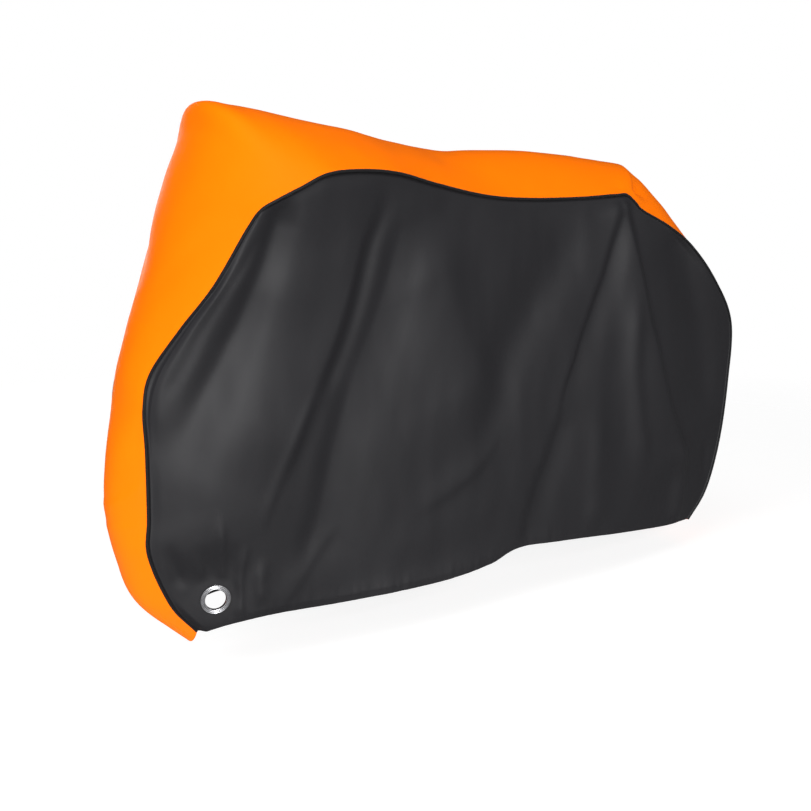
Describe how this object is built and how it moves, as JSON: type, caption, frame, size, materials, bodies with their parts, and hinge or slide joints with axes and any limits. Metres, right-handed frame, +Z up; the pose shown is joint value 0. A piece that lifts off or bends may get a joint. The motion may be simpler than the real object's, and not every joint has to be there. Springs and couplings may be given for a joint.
{
  "type": "bicycle cover",
  "caption": "Fitted full-length bicycle cover, hollow and open below, with a bright centre strip, dark side panels, piped seams and metal lock eyelets low at the front.",
  "frame": {"origin": "under the middle of the cover's top, on the inner face of the centre strip, where the bicycle carries it; the ground is 1.0565 m below", "axes": "+X towards the tail along the cover's length, -Y towards the near side (the one pictured), +Z up"},
  "size_m": [1.7433, 0.4558, 1.0838],
  "materials": {
    "orange_cloth": "smooth woven polyester, satin",
    "charcoal_cloth": "smooth woven polyester, satin",
    "black_piping": "matte binding",
    "eyelet_metal": "polished nickel"
  },
  "bodies": {
    "root": {"centre_strip": "orange_cloth", "near_side_panel": "charcoal_cloth", "far_side_panel": "charcoal_cloth", "near_piping": "black_piping", "far_piping": "black_piping", "near_eyelet": "eyelet_metal", "near_eyelet_washer": "eyelet_metal", "far_eyelet": "eyelet_metal", "far_eyelet_washer": "eyelet_metal"}
  },
  "joints": []
}
